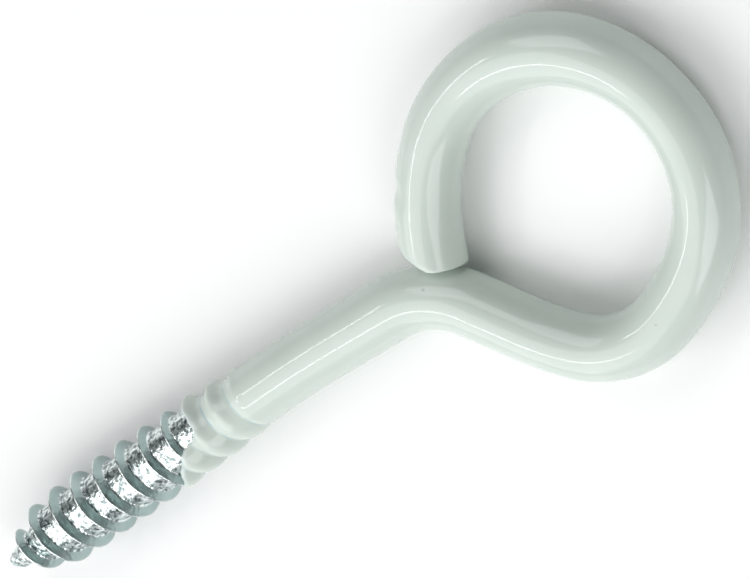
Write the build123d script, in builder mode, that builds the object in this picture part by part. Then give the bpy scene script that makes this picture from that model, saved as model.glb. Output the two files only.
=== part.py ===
from build123d import *
import os
from math import atan, cos, degrees, pi, radians, tan

# Screw eye lying flat: one length of round steel wire, cut to a wood screw's point and thread at
# one end and bent to an eye at the other, then dipped in white plastic down to the last turns
# of the thread. The coat is bonded to the wire, so the finished eye is one solid, whose outside
# is the bare thread up to the coat's edge and the coat's own surface after it. The screw's axis
# runs along +X from the tip to the eye, and the eye lies flat, so its hole runs along Z. Z is
# zero on the surface that the thread's crests lie on. X and Y are zero in the middle of the
# whole outline.

# Driving dimensions, mm and degrees
wire_diameter = 5.8
coat_thickness = 0.15
thread_diameter = 7.5
root_diameter = 5.5
pitch = 3.1
overall_length = 89.7
overall_width = 33.98
eye_drop = 18.56  # from the screw's axis to the lowest side of the eye

wire_radius = wire_diameter / 2
coat_radius = wire_radius + coat_thickness
crest_radius = thread_diameter / 2
root_radius = root_diameter / 2

# The screw's axis: every distance below is measured from the tip along it
tip_x = -overall_length / 2
axis_y = eye_drop - overall_width / 2
axis_z = crest_radius

# Gimlet point: a blunt nub on a cone that grows to the root diameter
nub_radius = 0.55
nub_shoulder = 0.95
nub_length = 0.6
point_length = 7.0

# Thread: a sharp right-hand ridge, made in stretches of whole turns that meet end to end.
# Each station is a distance from the tip, the core's radius there and the crest's height over it
ridge_half_angle = 30
ridge_sink = 0.35
thread_phase = 0.395
stations = (
    (thread_phase, 0.89, 0.05),
    (thread_phase + pitch, 1.77, 0.72),
    (thread_phase + 2 * pitch, 2.64, 0.94),
    (thread_phase + 3 * pitch, root_radius, crest_radius - root_radius),
    (thread_phase + 6 * pitch, root_radius, crest_radius - root_radius),
    (thread_phase + 9 * pitch, root_radius, 0.62),
    (thread_phase + 11 * pitch, root_radius, 0.0),
)
first_covered = 4  # the stretch after this station lies under the coat
root_end = 31.0
thread_end = 33.0
core_end = 36.0

# The wire's centreline after the thread: straight runs, and tangent arcs as radius and turn
shank_bend = (150, -3.3)
shank_run = 6.9
neck_bend = (9.5, -51.3)
heel_run = 5.4
heel_bend = (28, 10.3)
corner_bend = (9.4, 57.5)
shoulder_bend = (20, 22)
eye_radius = 13.4
rise_turn = 62
crown_turn = 104
fall_turn = 18.2
closing_bend = (23, 23.0)

# The coat: it thins over the thread and ends there at a slant, has set in a thick sag on the
# crown of the eye, and rounds off the wire's cut end, where a burr of plastic stands out
cover_start = 20.0
thread_cover = 0.12
coat_edge = 25.0
coat_edge_lean = 35
sag_growth = 0.31
sag_shift = 0.16
sag_sections = 17
end_run = 1.42
cap_rounding = 0.6
burr_radius = 0.3
burr_length = 0.9
burr_lean = 0.35


def on_axis(distance, radius=0.0):
    """A point at this distance from the tip, on the screw's axis or out to its +Y side."""
    return (tip_x + distance, axis_y + radius, axis_z)


def thread_ridge(start, end, cover=0.0):
    """The end sections and the helix of one stretch of ridge, bare or fattened by a cover."""
    near, core, _ = start
    far, far_core, _ = end
    cone = degrees(atan((far_core - core) / (far - near)))
    helix = Helix(pitch, far - near, core, center=on_axis(near), direction=(1, 0, 0), cone_angle=cone)
    sections = []
    for share, (_, _, height) in enumerate((start, end)):
        travel = helix % share
        along = Vector(1, 0, 0) - travel * travel.X
        foot = (height + ridge_sink) * tan(radians(ridge_half_angle)) + cover
        top = height + cover
        crest = [(-cover, top), (cover, top)] if cover else [(0, top)]
        with BuildSketch(Plane(helix @ share, x_dir=along, z_dir=travel)) as section:
            with BuildLine():
                Polyline((-foot, -ridge_sink), *crest, (foot, -ridge_sink), close=True)
            make_face()
        sections.append(section.sketch.face())
    return sections, helix


def turn_on(path, radius, turn):
    """The tangent arc that carries a path on, turning left when the turn is positive."""
    return JernArc(path @ 1, path % 1, radius, turn)


with BuildLine():
    straight = Line(on_axis(core_end), on_axis(core_end + 0.2))
    shank_arc = turn_on(straight, *shank_bend)
    shank_line = PolarLine(shank_arc @ 1, shank_run, direction=shank_arc % 1)
    neck_arc = turn_on(shank_line, *neck_bend)
    heel_line = PolarLine(neck_arc @ 1, heel_run, direction=neck_arc % 1)
    heel_arc = turn_on(heel_line, *heel_bend)
    corner_arc = turn_on(heel_arc, *corner_bend)
    shoulder_arc = turn_on(corner_arc, *shoulder_bend)
    rise_arc = turn_on(shoulder_arc, eye_radius, rise_turn)
    crown_arc = turn_on(rise_arc, eye_radius, crown_turn)
    fall_arc = turn_on(crown_arc, eye_radius, fall_turn)
    closing_arc = turn_on(fall_arc, *closing_bend)
    end_line = PolarLine(closing_arc @ 1, end_run, direction=closing_arc % 1)

shank = (straight, shank_arc, shank_line, neck_arc, heel_line)
rise = (heel_arc, corner_arc, shoulder_arc, rise_arc)
rise_path = Wire([line.edge() for line in (*shank, *rise)])
fall_path = Wire([line.edge() for line in (fall_arc, closing_arc, end_line)])

# Bare steel: core and point turned as one, and the thread's ridge wound round them
with BuildPart() as bare_thread:
    with BuildSketch(Plane.XY.offset(axis_z)):
        with BuildLine():
            Polyline(
                on_axis(0)[:2],
                on_axis(0, nub_radius)[:2],
                on_axis(nub_length, nub_shoulder)[:2],
                on_axis(point_length, root_radius)[:2],
                on_axis(root_end, root_radius)[:2],
                on_axis(thread_end, wire_radius)[:2],
                on_axis(core_end, wire_radius)[:2],
                on_axis(core_end)[:2],
                close=True,
            )
        make_face()
    revolve(axis=Axis(on_axis(0), (1, 0, 0)))
    for start, end in zip(stations, stations[1:]):
        sections, helix = thread_ridge(start, end)
        sweep(sections=sections, path=helix, multisection=True, is_frenet=True)

# The wire's far end under its coat: the last of the eye, its rounded cap and the burr
with BuildPart() as closing_end:
    with BuildSketch(Plane(fall_path @ 0, z_dir=fall_path % 0)):
        Circle(coat_radius)
    sweep(path=fall_path)
    cap_face = closing_end.faces().sort_by(Axis(end_line @ 0, end_line % 0)).last
    fillet(cap_face.edges(), cap_rounding)
    inward = Vector(0, 0, 1).cross(end_line % 0)
    burr_foot = end_line @ 0 + inward * (coat_radius - burr_radius)
    with Locations(Plane(burr_foot, z_dir=inward + (end_line % 0) * burr_lean)):
        Cone(burr_radius, 0, burr_length, align=(Align.CENTER, Align.CENTER, Align.MIN))

# The coat's outside, solid down to the wire's axis: over the last turns, the shank and the eye
with BuildPart() as coated:
    with BuildSketch(Plane.XY.offset(axis_z)):
        with BuildLine():
            Polyline(
                on_axis(cover_start)[:2],
                on_axis(cover_start, root_radius + thread_cover)[:2],
                on_axis(root_end, root_radius + thread_cover)[:2],
                on_axis(thread_end, coat_radius)[:2],
                on_axis(core_end, coat_radius)[:2],
                on_axis(core_end)[:2],
                close=True,
            )
        make_face()
    revolve(axis=Axis(on_axis(0), (1, 0, 0)))
    for start, end in zip(stations[first_covered:], stations[first_covered + 1 :]):
        sections, helix = thread_ridge(start, end, thread_cover)
        sweep(sections=sections, path=helix, multisection=True, is_frenet=True)
    with BuildSketch(Plane(rise_path @ 0, z_dir=rise_path % 0)):
        Circle(coat_radius)
    sweep(path=rise_path)
    sag = []
    for i in range(sag_sections):
        share = i / (sag_sections - 1)
        bell = (1 - cos(2 * pi * share)) / 2
        across = Plane(crown_arc @ share, x_dir=(0, 0, 1), z_dir=crown_arc % share)
        with BuildSketch(across) as sag_section:
            with Locations((0, sag_shift * bell)):
                Circle(coat_radius + sag_growth * bell)
        sag.append(sag_section.sketch)
    loft(sections=sag, ruled=True)
    add(closing_end.part)
    edge_plane = Plane(on_axis(coat_edge), z_dir=Vector(1, 0, 0).rotate(Axis.Z, -coat_edge_lean))
    split(bisect_by=edge_plane, keep=Keep.TOP)

# The finished screw eye: the bare thread stands out of the coated wire at the coat's edge
with BuildPart() as screw_eye:
    add(bare_thread.part)
    add(coated.part)

os.makedirs("parts", exist_ok=True)
screw_eye.part.label = "screw_eye"
export_step(screw_eye.part, "parts/screw_eye.step")
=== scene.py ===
import bmesh
import bpy
from math import cos, pi, radians, sin, tan
from mathutils import Matrix, Vector


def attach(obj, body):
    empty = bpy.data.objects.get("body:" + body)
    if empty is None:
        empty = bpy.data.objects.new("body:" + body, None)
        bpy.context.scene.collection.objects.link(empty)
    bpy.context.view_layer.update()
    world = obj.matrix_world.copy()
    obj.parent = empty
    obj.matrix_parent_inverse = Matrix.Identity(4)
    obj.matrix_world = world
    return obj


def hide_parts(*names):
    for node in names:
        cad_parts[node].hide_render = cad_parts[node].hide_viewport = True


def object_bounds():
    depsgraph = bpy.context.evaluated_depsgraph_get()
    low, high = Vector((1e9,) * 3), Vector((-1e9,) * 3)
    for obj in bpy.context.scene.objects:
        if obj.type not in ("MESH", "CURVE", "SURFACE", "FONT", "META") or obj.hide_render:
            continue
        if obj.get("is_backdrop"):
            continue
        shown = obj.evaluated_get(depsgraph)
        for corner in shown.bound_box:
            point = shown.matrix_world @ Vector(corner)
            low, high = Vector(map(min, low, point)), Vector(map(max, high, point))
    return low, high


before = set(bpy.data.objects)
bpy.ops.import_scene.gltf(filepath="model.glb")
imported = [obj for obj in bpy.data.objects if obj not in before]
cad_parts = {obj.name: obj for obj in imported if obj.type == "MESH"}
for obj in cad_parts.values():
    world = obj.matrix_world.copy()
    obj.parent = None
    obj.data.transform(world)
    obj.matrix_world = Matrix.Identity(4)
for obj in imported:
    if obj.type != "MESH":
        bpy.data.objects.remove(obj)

cad_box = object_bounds()

# The wire's run: one length of 5.8 mm steel wire, straight for the screw and then bent cold round
# formers into the neck, the heel and the eye. It is drawn here as the line that the thread and the
# coat both follow, in mm from the screw's tip, with each stretch as its radius and its turn.
tip = Vector((-44.85, 1.57, 3.75))
straight_run = 36.2
shank_run = 6.9
heel_run = 5.4
end_run = 1.9
bends = {
    "shank": (150, -3.3),
    "neck": (9.5, -51.3),
    "heel": (28, 10.3),
    "corner": (9.4, 57.5),
    "shoulder": (20, 22),
    "rise": (13.4, 62),
    "crown": (13.4, 104),
    "fall": (13.4, 18.2),
    "closing": (23, 23),
}
step = 0.2
mm = 0.001  # in metres
stretches = [(straight_run, 0)]
starts = {}
for name, (radius, turn) in bends.items():
    starts[name] = sum(length for length, _ in stretches)
    length = radius * abs(radians(turn))
    stretches.append((length, radians(turn) / length))
    if name == "shank":
        stretches.append((shank_run, 0))
    if name == "neck":
        stretches.append((heel_run, 0))
stretches.append((end_run, 0))
wire_end = sum(length for length, _ in stretches)

place = tip.copy()
heading = 0.0
line_points = [place.copy()]
for length, bend in stretches:
    count = max(1, round(length / step))
    for _ in range(count):
        heading += bend * length / count / 2
        place = place + Vector((cos(heading), sin(heading), 0)) * (length / count)
        heading += bend * length / count / 2
        line_points.append(place.copy())
wire_line = bpy.data.meshes.new("wire_line")
wire_line.from_pydata(line_points, [(i, i + 1) for i in range(len(line_points) - 1)], [])


# The bare thread: the screw's own steel, rolled to a sharp right-hand thread on a turned-down core,
# with a gimlet point, and plated with zinc. It is one skin, wound so that a row of its faces runs
# along every crest, and its far end closes inside the coat.
class Field:
    """A value that varies over a tree's points or a surface, so that sums read as arithmetic."""

    def __init__(self, tree, socket):
        self.tree = tree
        self.socket = socket

    def math(self, operation, *others):
        node = self.tree.nodes.new("ShaderNodeMath")
        node.operation = operation
        for socket, value in zip(node.inputs, (self, *others)):
            if isinstance(value, Field):
                self.tree.links.new(value.socket, socket)
            else:
                socket.default_value = value
        return Field(self.tree, node.outputs[0])

    def __add__(self, other):
        return self.math("ADD", other)

    def __sub__(self, other):
        return self.math("SUBTRACT", other)

    def __mul__(self, other):
        return self.math("MULTIPLY", other)

    def __truediv__(self, other):
        return self.math("DIVIDE", other)

    def __neg__(self):
        return self.math("MULTIPLY", -1)

    def clamped(self):
        return self.math("MAXIMUM", 0).math("MINIMUM", 1)

    def along(self, points, handle="AUTO_CLAMPED"):
        """Height of an outline drawn through these points, each a place and a height."""
        low = points[0][0]
        span = points[-1][0] - low
        floor = min(height for _, height in points)
        rise = max(height for _, height in points) - floor
        node = self.tree.nodes.new("ShaderNodeFloatCurve")
        drawn = node.mapping.curves[0]
        while len(drawn.points) < len(points):
            drawn.points.new(0.5, 0.5)
        for point, (where, height) in zip(drawn.points, points):
            point.location = ((where - low) / span, (height - floor) / rise)
            point.handle_type = handle
        node.mapping.update()
        self.tree.links.new(((self - low) / span).clamped().socket, node.inputs["Value"])
        return Field(self.tree, node.outputs[0]) * rise + floor


def new_node(tree, kind, inputs=(), **settings):
    """Adds a node, and links or sets its inputs, given as pairs of a name or place and a value."""
    node = tree.nodes.new(kind)
    for name, value in settings.items():
        setattr(node, name, value)
    for name, value in inputs:
        if isinstance(value, Field):
            value = value.socket
        if isinstance(value, bpy.types.NodeSocket):
            tree.links.new(value, node.inputs[name])
        else:
            node.inputs[name].default_value = value
    return node


def new_tree(name, sizes):
    """Starts a tree with a named input for each size, and turns the wire's line into a curve."""
    tree = bpy.data.node_groups.new(name, "GeometryNodeTree")
    tree.interface.new_socket("Geometry", in_out="INPUT", socket_type="NodeSocketGeometry")
    for size, value in sizes.items():
        kind = "NodeSocketInt" if isinstance(value, int) else "NodeSocketFloat"
        tree.interface.new_socket(size, in_out="INPUT", socket_type=kind)
    tree.interface.new_socket("Geometry", in_out="OUTPUT", socket_type="NodeSocketGeometry")
    entry = tree.nodes.new("NodeGroupInput")
    line = new_node(tree, "GeometryNodeMeshToCurve", (("Mesh", entry.outputs["Geometry"]),))
    return tree, line.outputs[0], {size: Field(tree, entry.outputs[size]) for size in sizes}


def keep_on_skin(tree, skin, name, value):
    """Keeps a value on the skin under a name, for the tree or its material to read."""
    store = new_node(
        tree,
        "GeometryNodeStoreNamedAttribute",
        (("Geometry", skin), ("Name", name), ("Value", value)),
        data_type="FLOAT",
        domain="POINT",
    )
    return store.outputs[0]


def wound_skin(tree, sizes):
    """A grid sheared along the thread's helix, with the distance and turn of each of its points."""
    rows = sizes["Turns"] * sizes["Rows per Turn"] + 1
    around = sizes["Points Around"] + 1
    grid = new_node(
        tree, "GeometryNodeMeshGrid", (("Vertices X", rows), ("Vertices Y", around))
    )
    corner = tree.nodes.new("GeometryNodeInputPosition")
    parts = new_node(tree, "ShaderNodeSeparateXYZ", ((0, corner.outputs[0]),))
    turn = Field(tree, parts.outputs["Y"]) + 0.5
    wound = (Field(tree, parts.outputs["X"]) + 0.5) * sizes["Turns"] - 1
    distance = sizes["First Row"] + (wound + turn) * sizes["Pitch"]
    skin = grid.outputs["Mesh"]
    kept = {}
    for name, value in (("distance", distance), ("turn", turn)):
        skin = keep_on_skin(tree, skin, name, value)
        read = new_node(
            tree, "GeometryNodeInputNamedAttribute", (("Name", name),), data_type="FLOAT"
        )
        kept[name] = Field(tree, read.outputs[0])
    return skin, kept["distance"], kept["turn"]


def blotches(tree, distance, turn, size, seed):
    """Random swells from -1 to 1 of about this size in mm, that close up round the wire."""
    ring_radius = 3
    across = (turn * (2 * pi)).math("COSINE") * ring_radius
    up = (turn * (2 * pi)).math("SINE") * ring_radius
    where = new_node(
        tree, "ShaderNodeCombineXYZ", (("X", distance + seed), ("Y", across), ("Z", up))
    )
    noise = new_node(
        tree,
        "ShaderNodeTexNoise",
        (("Vector", where.outputs[0]), ("Scale", 1 / size), ("Detail", 2.0)),
    )
    return (Field(tree, noise.outputs[0]) - 0.5) * 2


def thread_skin(tree, sizes, distance, turn):
    """The bare thread's radius, how far up the ridge that is, and how far aside of the crest.

    The outlines give a radius in mm for each distance from the tip: the core's, the crest's over
    the point, and how much lower the crest is rolled towards the end of the thread.
    """
    ridge_half_angle = 30
    root_blend = 0.1
    crest_wander = 0.05
    least_ridge = 0.05
    core = distance.along(
        ((0, 0), (0.1, 0.42), (0.3, 0.6), (0.6, 0.74), (1.2, 0.95), (2, 1.23), (3.5, 1.62),
         (5.4, 2.2), (7, 2.7), (9, 2.75))
    )
    growth = distance.along(
        ((0, 0.45), (0.8, 0.9), (1.6, 1.35), (2.6, 2.3), (4.4, 2.86), (5.8, 3.46), (7.3, 3.68),
         (9, 3.75))
    )
    fade = distance.along(
        ((18, 0), (21, -0.08), (24.3, -0.2), (27, -0.34), (30.6, -0.5), (34, -0.85))
    )
    wound = (distance - sizes["Crest Phase"]) / sizes["Pitch"] - turn
    aside = (wound - wound.math("ROUND")).math("ABSOLUTE") * sizes["Pitch"]
    crest = growth + fade + blotches(tree, distance, turn, size=1.6, seed=4) * crest_wander
    down = (aside - sizes["Crest Flat"]).math("MAXIMUM", 0) / tan(radians(ridge_half_angle))
    radius = core.math("SMOOTH_MAX", crest - down, root_blend)
    height = ((radius - core) / (crest - core).math("MAXIMUM", least_ridge)).clamped()
    return radius, height, aside


def laid_on_wire(tree, skin, line, distance, turn, radius, shift=None):
    """Moves each point of a skin out from the wire's line, to its own distance, turn and radius."""
    sample = new_node(
        tree, "GeometryNodeSampleCurve", (("Curves", line), ("Length", distance)), mode="LENGTH"
    )
    side = new_node(
        tree,
        "ShaderNodeVectorMath",
        ((0, (0, 0, 1)), (1, sample.outputs["Tangent"])),
        operation="CROSS_PRODUCT",
    )
    angle = turn * (2 * pi)
    across = radius * angle.math("COSINE")
    if shift:
        across = across - shift
    reach = new_node(
        tree, "ShaderNodeVectorMath", ((0, side.outputs[0]), ("Scale", across)), operation="SCALE"
    )
    up = new_node(tree, "ShaderNodeCombineXYZ", (("Z", radius * angle.math("SINE")),))
    flat = new_node(
        tree,
        "ShaderNodeVectorMath",
        ((0, sample.outputs["Position"]), (1, reach.outputs[0])),
        operation="ADD",
    )
    spot = new_node(
        tree, "ShaderNodeVectorMath", ((0, flat.outputs[0]), (1, up.outputs[0])), operation="ADD"
    )
    placed = new_node(
        tree, "GeometryNodeSetPosition", (("Geometry", skin), ("Position", spot.outputs[0]))
    )
    return placed.outputs[0]


def end_tree(tree, skin, material):
    """Welds the skin's seam and poles, and ends the tree with its material."""
    weld_gap = 0.004
    weld = new_node(
        tree, "GeometryNodeMergeByDistance", (("Geometry", skin), ("Distance", weld_gap))
    )
    smooth = new_node(tree, "GeometryNodeSetShadeSmooth", (("Geometry", weld.outputs[0]),))
    real = new_node(tree, "GeometryNodeRealizeInstances", (("Geometry", smooth.outputs[0]),))
    finish = new_node(tree, "GeometryNodeSetMaterial", (("Geometry", real.outputs[0]),))
    finish.inputs["Material"].default_value = material
    leave = new_node(tree, "NodeGroupOutput")
    tree.links.new(finish.outputs[0], leave.inputs[0])


def made_piece(name, tree, sizes):
    """Runs a tree on the wire's line, and keeps the result as a plain mesh in metres."""
    least_edge = 0.0001 * mm
    piece = bpy.data.objects.new(name, wire_line.copy())
    bpy.context.scene.collection.objects.link(piece)
    modifier = piece.modifiers.new(name, "NODES")
    modifier.node_group = tree
    for socket in tree.interface.items_tree:
        if socket.in_out == "INPUT" and socket.name in sizes:
            modifier[socket.identifier] = sizes[socket.name]
    depsgraph = bpy.context.evaluated_depsgraph_get()
    mesh = bpy.data.meshes.new_from_object(
        piece.evaluated_get(depsgraph), preserve_all_data_layers=True, depsgraph=depsgraph
    )
    piece.modifiers.clear()
    shell = bmesh.new()
    shell.from_mesh(mesh)
    bmesh.ops.scale(shell, vec=(mm, mm, mm), verts=shell.verts)
    bmesh.ops.dissolve_degenerate(shell, dist=least_edge, edges=shell.edges)
    bmesh.ops.recalc_face_normals(shell, faces=shell.faces)
    shell.to_mesh(mesh)
    shell.free()
    piece.data = mesh
    return piece


def grain_group():
    """Shared effect: fine grain and scattered pits, by Object coordinates, for zinc and coat."""
    cloud_to_grain = 0.12
    pit_sharpness = 13
    group = bpy.data.node_groups.new("surface_grain", "ShaderNodeTree")
    settings = ("Grain Size", "Pit Spacing", "Pit Share")
    for name in settings:
        group.interface.new_socket(name, in_out="INPUT", socket_type="NodeSocketFloat")
    for name in ("Grain", "Cloud", "Pits"):
        group.interface.new_socket(name, in_out="OUTPUT", socket_type="NodeSocketFloat")
    entry = group.nodes.new("NodeGroupInput")
    given = {name: Field(group, entry.outputs[name]) for name in settings}
    spot = group.nodes.new("ShaderNodeTexCoord").outputs["Object"]
    grain_scale = (given["Grain Size"] * mm).math("POWER", -1)
    grain = new_node(
        group, "ShaderNodeTexNoise", (("Vector", spot), ("Scale", grain_scale), ("Detail", 4.0))
    )
    cloud = new_node(
        group,
        "ShaderNodeTexNoise",
        (("Vector", spot), ("Scale", grain_scale * cloud_to_grain), ("Detail", 3.0)),
    )
    pit_scale = (given["Pit Spacing"] * mm).math("POWER", -1)
    cells = new_node(group, "ShaderNodeTexVoronoi", (("Vector", spot), ("Scale", pit_scale)))
    rare = new_node(group, "ShaderNodeSeparateColor", (("Color", cells.outputs["Color"]),))
    chosen = Field(group, rare.outputs[0]).math("LESS_THAN", given["Pit Share"])
    near = (Field(group, cells.outputs["Distance"]) * -pit_sharpness + 1).clamped()
    leave = new_node(group, "NodeGroupOutput")
    group.links.new(grain.outputs[0], leave.inputs["Grain"])
    group.links.new(cloud.outputs[0], leave.inputs["Cloud"])
    group.links.new((chosen * near).socket, leave.inputs["Pits"])
    return group


surface_grain = grain_group()


def new_material(name, grain_size, pit_spacing, pit_share):
    """A material with its nodes and shader, and the grain, cloud and pits of the shared group."""
    material = bpy.data.materials.new(name)
    material.use_nodes = True
    tree = material.node_tree
    grain = new_node(
        tree,
        "ShaderNodeGroup",
        (("Grain Size", grain_size), ("Pit Spacing", pit_spacing), ("Pit Share", pit_share)),
        node_tree=surface_grain,
    )
    effects = [Field(tree, grain.outputs[effect]) for effect in ("Grain", "Cloud", "Pits")]
    return material, tree, tree.nodes["Principled BSDF"], effects


def read_from_skin(tree, name):
    """The value that was kept on the skin under this name, in a material."""
    return Field(tree, new_node(tree, "ShaderNodeAttribute", attribute_name=name).outputs["Fac"])


def finish_material(tree, shader, colour, roughness, relief, strength, depth):
    """Links a material's colour and roughness, and its relief as a bump of this depth in mm."""
    bump = new_node(
        tree,
        "ShaderNodeBump",
        (("Strength", strength), ("Distance", depth * mm), ("Height", relief)),
    )
    tree.links.new(colour, shader.inputs["Base Color"])
    tree.links.new(roughness.socket, shader.inputs["Roughness"])
    tree.links.new(bump.outputs[0], shader.inputs["Normal"])


def blend(tree, share, low, high):
    """A colour between two, by a share from 0 to 1. Each may be a colour or another blend."""
    node = new_node(tree, "ShaderNodeMix", (("Factor", share),), data_type="RGBA")
    for socket, colour in ((node.inputs[6], low), (node.inputs[7], high)):
        if isinstance(colour, bpy.types.NodeSocket):
            tree.links.new(colour, socket)
        else:
            socket.default_value = (*colour, 1)
    return node.outputs[2]


zinc, nodes, shader, (fine, cloud, pits) = new_material(
    "zinc_plate", grain_size=0.42, pit_spacing=0.5, pit_share=0.35
)
ridge = read_from_skin(nodes, "ridge")
flank_share = ridge.along(((0, 0), (0.08, 0), (0.2, 1), (0.9, 1), (0.97, 0), (1, 0)), "VECTOR")
# Painted reflection: the root band's colour is patched near black, in blotches set by the fine grain, for
# the dark room it mirrors.
painted_dark_reflection, bright_core = (0.16, 0.20, 0.20), (0.86, 0.92, 0.91)
dull_flank, clear_flank = (0.36, 0.46, 0.45), (0.46, 0.56, 0.55)
# The near white below is a painted highlight for the crests.
painted_crest_highlight = (0.98, 1.0, 0.98)
painted_reflection_patches = (fine * 6 - 2.3).clamped()
core_colour = blend(nodes, painted_reflection_patches, painted_dark_reflection, bright_core)
flank_colour = blend(nodes, (cloud * 2 - 0.5).clamped(), dull_flank, clear_flank)
plated = blend(nodes, flank_share, core_colour, flank_colour)
# Painted highlight: a thin line near white along the top of each ridge.
crest_highlight_share = ((ridge - 0.93) * 25).clamped()
colour = blend(nodes, crest_highlight_share, plated, painted_crest_highlight)
roughness = flank_share * 0.12 + fine * 0.16 + 0.12
relief = fine - pits * 0.6 * (flank_share * -1 + 1)
finish_material(nodes, shader, colour, roughness, relief, strength=0.6, depth=0.14)
shader.inputs["Metallic"].default_value = 1

pitch = 3.1
crest_phase = 2.72
close_length = 0.9
nub_fade = 0.7
nub_swell = 0.3
thread_sizes = {
    "Pitch": pitch,
    "First Row": -0.38,
    "Crest Phase": crest_phase,
    "Crest Flat": 0.03,
    "Buried End": 29.4,
    "Turns": 11,
    "Rows per Turn": 32,
    "Points Around": 96,
}
tree, line, sizes = new_tree("rolled_thread", thread_sizes)
skin, wound_to, turn = wound_skin(tree, sizes)
distance = wound_to.math("MAXIMUM", 0).math("MINIMUM", sizes["Buried End"])
radius, height, _ = thread_skin(tree, sizes, distance, turn)
nub = (distance * -nub_fade + 1).clamped()
nub = nub * blotches(tree, distance, turn, size=0.7, seed=2) * nub_swell
closing = ((sizes["Buried End"] - wound_to) / close_length + 1).clamped()
radius = radius * (nub + 1) * closing
skin = keep_on_skin(tree, skin, "ridge", height)
skin = laid_on_wire(tree, skin, line, distance, turn, radius)
end_tree(tree, skin, zinc)
thread = made_piece("bare_thread", tree, thread_sizes)
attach(thread, "root")
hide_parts("screw_eye")

# The coat: white plastic that the eye was dipped in, a skin of about 0.15 mm that ends ragged over
# the last turns of the thread. It rounds each turn under it, has set in a sag on the crown of the
# eye, and closes round the wire's cut end, with a burr where the end meets the neck.
coat, nodes, shader, (fine, cloud, pits) = new_material(
    "white_dip_coat", grain_size=0.7, pit_spacing=3.0, pit_share=0.12
)
# Painted shade: the grooves between the covered turns are coloured a darker bluish grey, in broken lines.
groove_shade = read_from_skin(nodes, "groove_shade")
edge = read_from_skin(nodes, "coat_edge")
duller_white, clearer_white = (0.575, 0.645, 0.59), (0.62, 0.685, 0.635)
# The bluish grey is painted shade for the grooves between the covered turns.
painted_shade_blue, thick_rim, pinhole = (0.36, 0.50, 0.56), (0.76, 0.83, 0.84), (0.2, 0.22, 0.2)
body_colour = blend(nodes, (cloud * 2 - 0.5).clamped(), duller_white, clearer_white)
groove_shaded = blend(nodes, groove_shade * 0.8, body_colour, painted_shade_blue)
whitened = blend(nodes, edge * 0.7, groove_shaded, thick_rim)
colour = blend(nodes, pits * 0.6, whitened, pinhole)
roughness = fine * 0.06 + pits * 0.3 + 0.07
relief = cloud * 1.4 + fine * 0.12 - pits
finish_material(nodes, shader, colour, roughness, relief, strength=0.2, depth=0.05)
shader.inputs["Specular IOR Level"].default_value = 0.42

coat_sizes = {
    "Pitch": pitch,
    "First Row": 18.22,
    "Crest Phase": crest_phase,
    "Crest Flat": 0.05,
    "Coat Radius": 3.05,
    "Sag Growth": 0.31,
    "Sag Shift": 0.16,
    "Wire End": wire_end,
    "End Slant": 1.4,
    "End Rounding": 0.8,
    "Turns": 42,
    "Rows per Turn": 16,
    "Points Around": 80,
}
edge_wander = 0.35
hollow_power = 2.6
upper_lobe = 1.2
steel_margin = 0.08
smooth_from = 33.7
smooth_over = 1.1
smooth_swell = 0.035
rounding_lean = 0.6
lip_length = 0.4
steel_sink = 0.05
tree, line, sizes = new_tree("dip_coat", coat_sizes)
skin, wound_to, turn = wound_skin(tree, sizes)
# Where the coat starts, once round from the side of the eye's hole
ragged = turn.along(
    ((0, 26.4), (0.1, 27.1), (0.2, 28.1), (0.24, 27.6), (0.27, 26.0), (0.32, 24.6), (0.4, 23.1),
     (0.5, 21.8), (0.62, 22.3), (0.75, 23.9), (0.88, 25.4), (1, 26.4))
)
ragged = ragged + blotches(tree, turn * 0, turn, size=0.9, seed=9) * edge_wander
# How far this side of the wire faces the hole: 1 towards it, -1 away from it
inner = (turn * (2 * pi)).math("COSINE")
cut = sizes["Wire End"] + inner * sizes["End Slant"]
distance = wound_to.math("MAXIMUM", ragged).math("MINIMUM", cut)
bare, _, aside = thread_skin(tree, sizes, distance, turn)
# The covered turns: full lobes on the outer side, narrower ones on the inner side
crest = distance.along(
    ((21, 3.72), (24.3, 3.64), (27, 3.58), (29.5, 3.5), (31, 3.32), (32.8, 3.22), (34.4, 3.06))
)
root = distance.along(((21, 2.8), (31, 2.82), (33.2, 2.88), (34.6, 3.04)))
hollow = (aside / (pitch / 2)).math("POWER", hollow_power)
narrow = ((aside / upper_lobe).math("MINIMUM", 1) * pi).math("COSINE") * -0.5 + 0.5
upper = inner * 0.5 + 0.5
covered = crest - (crest - root) * (hollow * (-upper + 1) + narrow * upper)
covered = covered.math("SMOOTH_MAX", bare + steel_margin, steel_margin)
past_thread = ((distance - smooth_from) / smooth_over).clamped()
swell = blotches(tree, distance, turn, size=9, seed=3) * smooth_swell
smooth_wire = sizes["Coat Radius"] + swell
covered = covered * (-past_thread + 1) + smooth_wire * past_thread
# The sag on the crown, the ripple beside the end, the rounded end and its burr
sag = (distance - starts["crown"]) / (starts["fall"] - starts["crown"])
bell = (sag.clamped() * (2 * pi)).math("COSINE") * -0.5 + 0.5
covered = covered + bell * sizes["Sag Growth"]
outer = (inner * -1.4 - 0.4).clamped()
from_end = cut - distance
ripple = from_end.along(
    ((0, 0), (2.2, 0), (3.4, 0.03), (4.4, 0.06), (5.2, -0.02), (6, -0.19), (6.8, -0.12),
     (7.5, 0), (9, 0))
)
covered = covered + ripple * outer
rounding = sizes["End Rounding"] - inner * rounding_lean
inset = ((rounding - from_end) / rounding).clamped()
rounded = (inset * inset * -1 + 1).math("MAXIMUM", 0).math("SQRT")
covered = covered - rounding * (-rounded + 1)
burr = from_end.along(((0, 0), (0.5, 0.05), (0.8, 0.38), (1.05, 0.08), (1.4, 0), (3, 0)))
from_inner = (turn - turn.math("ROUND")).math("ABSOLUTE")
burr_side = from_inner.along(((0, 1), (0.03, 0.4), (0.05, 0), (0.1, 0)))
covered = covered + burr * burr_side
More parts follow.
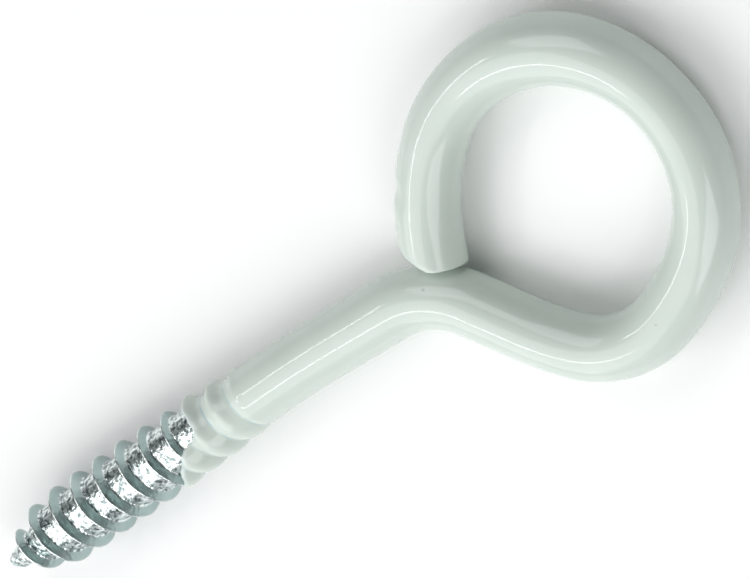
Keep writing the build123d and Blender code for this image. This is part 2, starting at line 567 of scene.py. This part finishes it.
# The coat's edge rises from just inside the steel, and both ends close on the wire's line
lip = ((distance - ragged) / lip_length).clamped()
lip = ((-lip + 1) * (-lip + 1) * -1 + 1).math("MAXIMUM", 0).math("SQRT")
radius = (bare - steel_sink) * (-lip + 1) + covered * lip
opening = ((wound_to - ragged) / close_length + 1).clamped()
closing = ((cut - wound_to) / close_length + 1).clamped()
radius = radius * opening * closing
broken = (blotches(tree, distance, turn, size=1.2, seed=6) * 1.6 + 0.6).clamped()
# Painted shade: how deep in the groove between covered turns, up to about 34 mm from the tip, broken up by
# blotches.
painted_groove_shade = (hollow * 4 - 3).clamped() * ((distance * -1 + 34) / 0.8).clamped() * broken
skin = keep_on_skin(tree, skin, "groove_shade", painted_groove_shade)
near_edge = ((ragged - distance) / close_length + 1).clamped()
skin = keep_on_skin(tree, skin, "coat_edge", near_edge)
skin = laid_on_wire(tree, skin, line, distance, turn, radius, bell * sizes["Sag Shift"])
end_tree(tree, skin, coat)
coated = made_piece("coated_wire", tree, coat_sizes)
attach(coated, "root")
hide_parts("screw_eye")

# The studio: a plain pale sheet under the eye, two thin tube lights that draw the long highlights,
# a soft box on each side, a broad one overhead, and a room that is dim except to the camera.
floor_mesh = bpy.data.meshes.new("floor")
reach = 3.0
floor_corners = [(-reach, -reach, 0), (reach, -reach, 0), (reach, reach, 0), (-reach, reach, 0)]
floor_mesh.from_pydata(floor_corners, [], [(0, 1, 2, 3)])
floor = bpy.data.objects.new("floor", floor_mesh)
bpy.context.scene.collection.objects.link(floor)
paper = bpy.data.materials.new("pale_sheet")
paper.use_nodes = True
paper_shader = paper.node_tree.nodes["Principled BSDF"]
paper_shader.inputs["Base Color"].default_value = (0.93, 0.93, 0.93, 1)
paper_shader.inputs["Roughness"].default_value = 0.9
floor_mesh.materials.append(paper)
floor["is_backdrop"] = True

aim = Vector((0.00645, 0.00330, 0.00375))


def soft_light(name, toward, across, distance, width, length, power):
    """A soft box on this side of the eye, turned to face it, its length along across."""
    data = bpy.data.lights.new(name, "AREA")
    data.shape = "RECTANGLE"
    data.size = length
    data.size_y = width
    data.energy = power
    light = bpy.data.objects.new(name, data)
    out = toward.normalized()
    side = (across - out * across.dot(out)).normalized()
    turned = Matrix((side, out.cross(side), out)).transposed()
    light.matrix_world = Matrix.Translation(aim + out * distance) @ turned.to_4x4()
    bpy.context.scene.collection.objects.link(light)


along_screw = Vector((1, 0, 0))
sideways = Vector((0, 1, 0))
tube_width = 0.03
left_tube_run = Vector((0.62, 0.75, 0.19))
right_tube_run = Vector((0.75, -0.52, 0.41))
soft_light("left_tube", Vector((-0.60, 0.31, 0.72)), left_tube_run, 0.7, tube_width, 0.36, 0.4)
soft_light("right_tube", Vector((-0.60, -0.23, 0.76)), right_tube_run, 0.7, tube_width, 0.24, 0.28)
soft_light("left_box", Vector((0.13, 0.65, 0.70)), along_screw, 0.6, 0.3, 0.4, 0.9)
soft_light("right_box", Vector((0.28, -0.65, 0.70)), along_screw, 0.6, 0.36, 0.36, 1.2)
soft_light("overhead_box", Vector((-0.85, -0.25, 0.9)), sideways, 1.2, 1.4, 1.4, 11.0)

world = bpy.data.worlds.new("room")
bpy.context.scene.world = world
world.use_nodes = True
room = world.node_tree
dark_side = (0.6, 0.6, 0.1)
pale_wall, dark_wall, backdrop = (0.55, 0.58, 0.58), (0.05, 0.055, 0.055), (0.95, 0.96, 0.96)
facing = new_node(
    room,
    "ShaderNodeVectorMath",
    ((0, room.nodes.new("ShaderNodeTexCoord").outputs["Generated"]), (1, dark_side)),
    operation="DOT_PRODUCT",
)
dimming = (Field(room, facing.outputs["Value"]) * 0.7 + 0.5).clamped()
room_colour = blend(room, dimming, pale_wall, dark_wall)
seen = room.nodes.new("ShaderNodeLightPath").outputs["Is Camera Ray"]
seen_colour = blend(room, seen, room_colour, backdrop)
room.links.new(seen_colour, room.nodes["Background"].inputs["Color"])
room.nodes["Background"].inputs["Strength"].default_value = 0.8
bpy.context.scene.view_settings.view_transform = "Standard"

# The camera: 0.45 m above the eye and tipped 31 degrees towards it, as the photographer stood.
tilt = radians(31)
roll = radians(34.8)
stand_off = 0.45
back = Vector((sin(tilt), 0, cos(tilt)))
level = Vector((cos(tilt), 0, -sin(tilt)))
lens = bpy.data.cameras.new("camera")
lens.sensor_fit = "HORIZONTAL"
lens.sensor_width = 36
lens.lens = 235.6
camera = bpy.data.objects.new("camera", lens)
right = level * cos(roll) - sideways * sin(roll)
up = level * sin(roll) + sideways * cos(roll)
turned = Matrix((right, up, back)).transposed()
camera.matrix_world = Matrix.Translation(aim + back * stand_off) @ turned.to_4x4()
bpy.context.scene.collection.objects.link(camera)
bpy.context.scene.camera = camera

sizes = {"cad": [list(corner) for corner in cad_box], "visual": [list(corner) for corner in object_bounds()]}
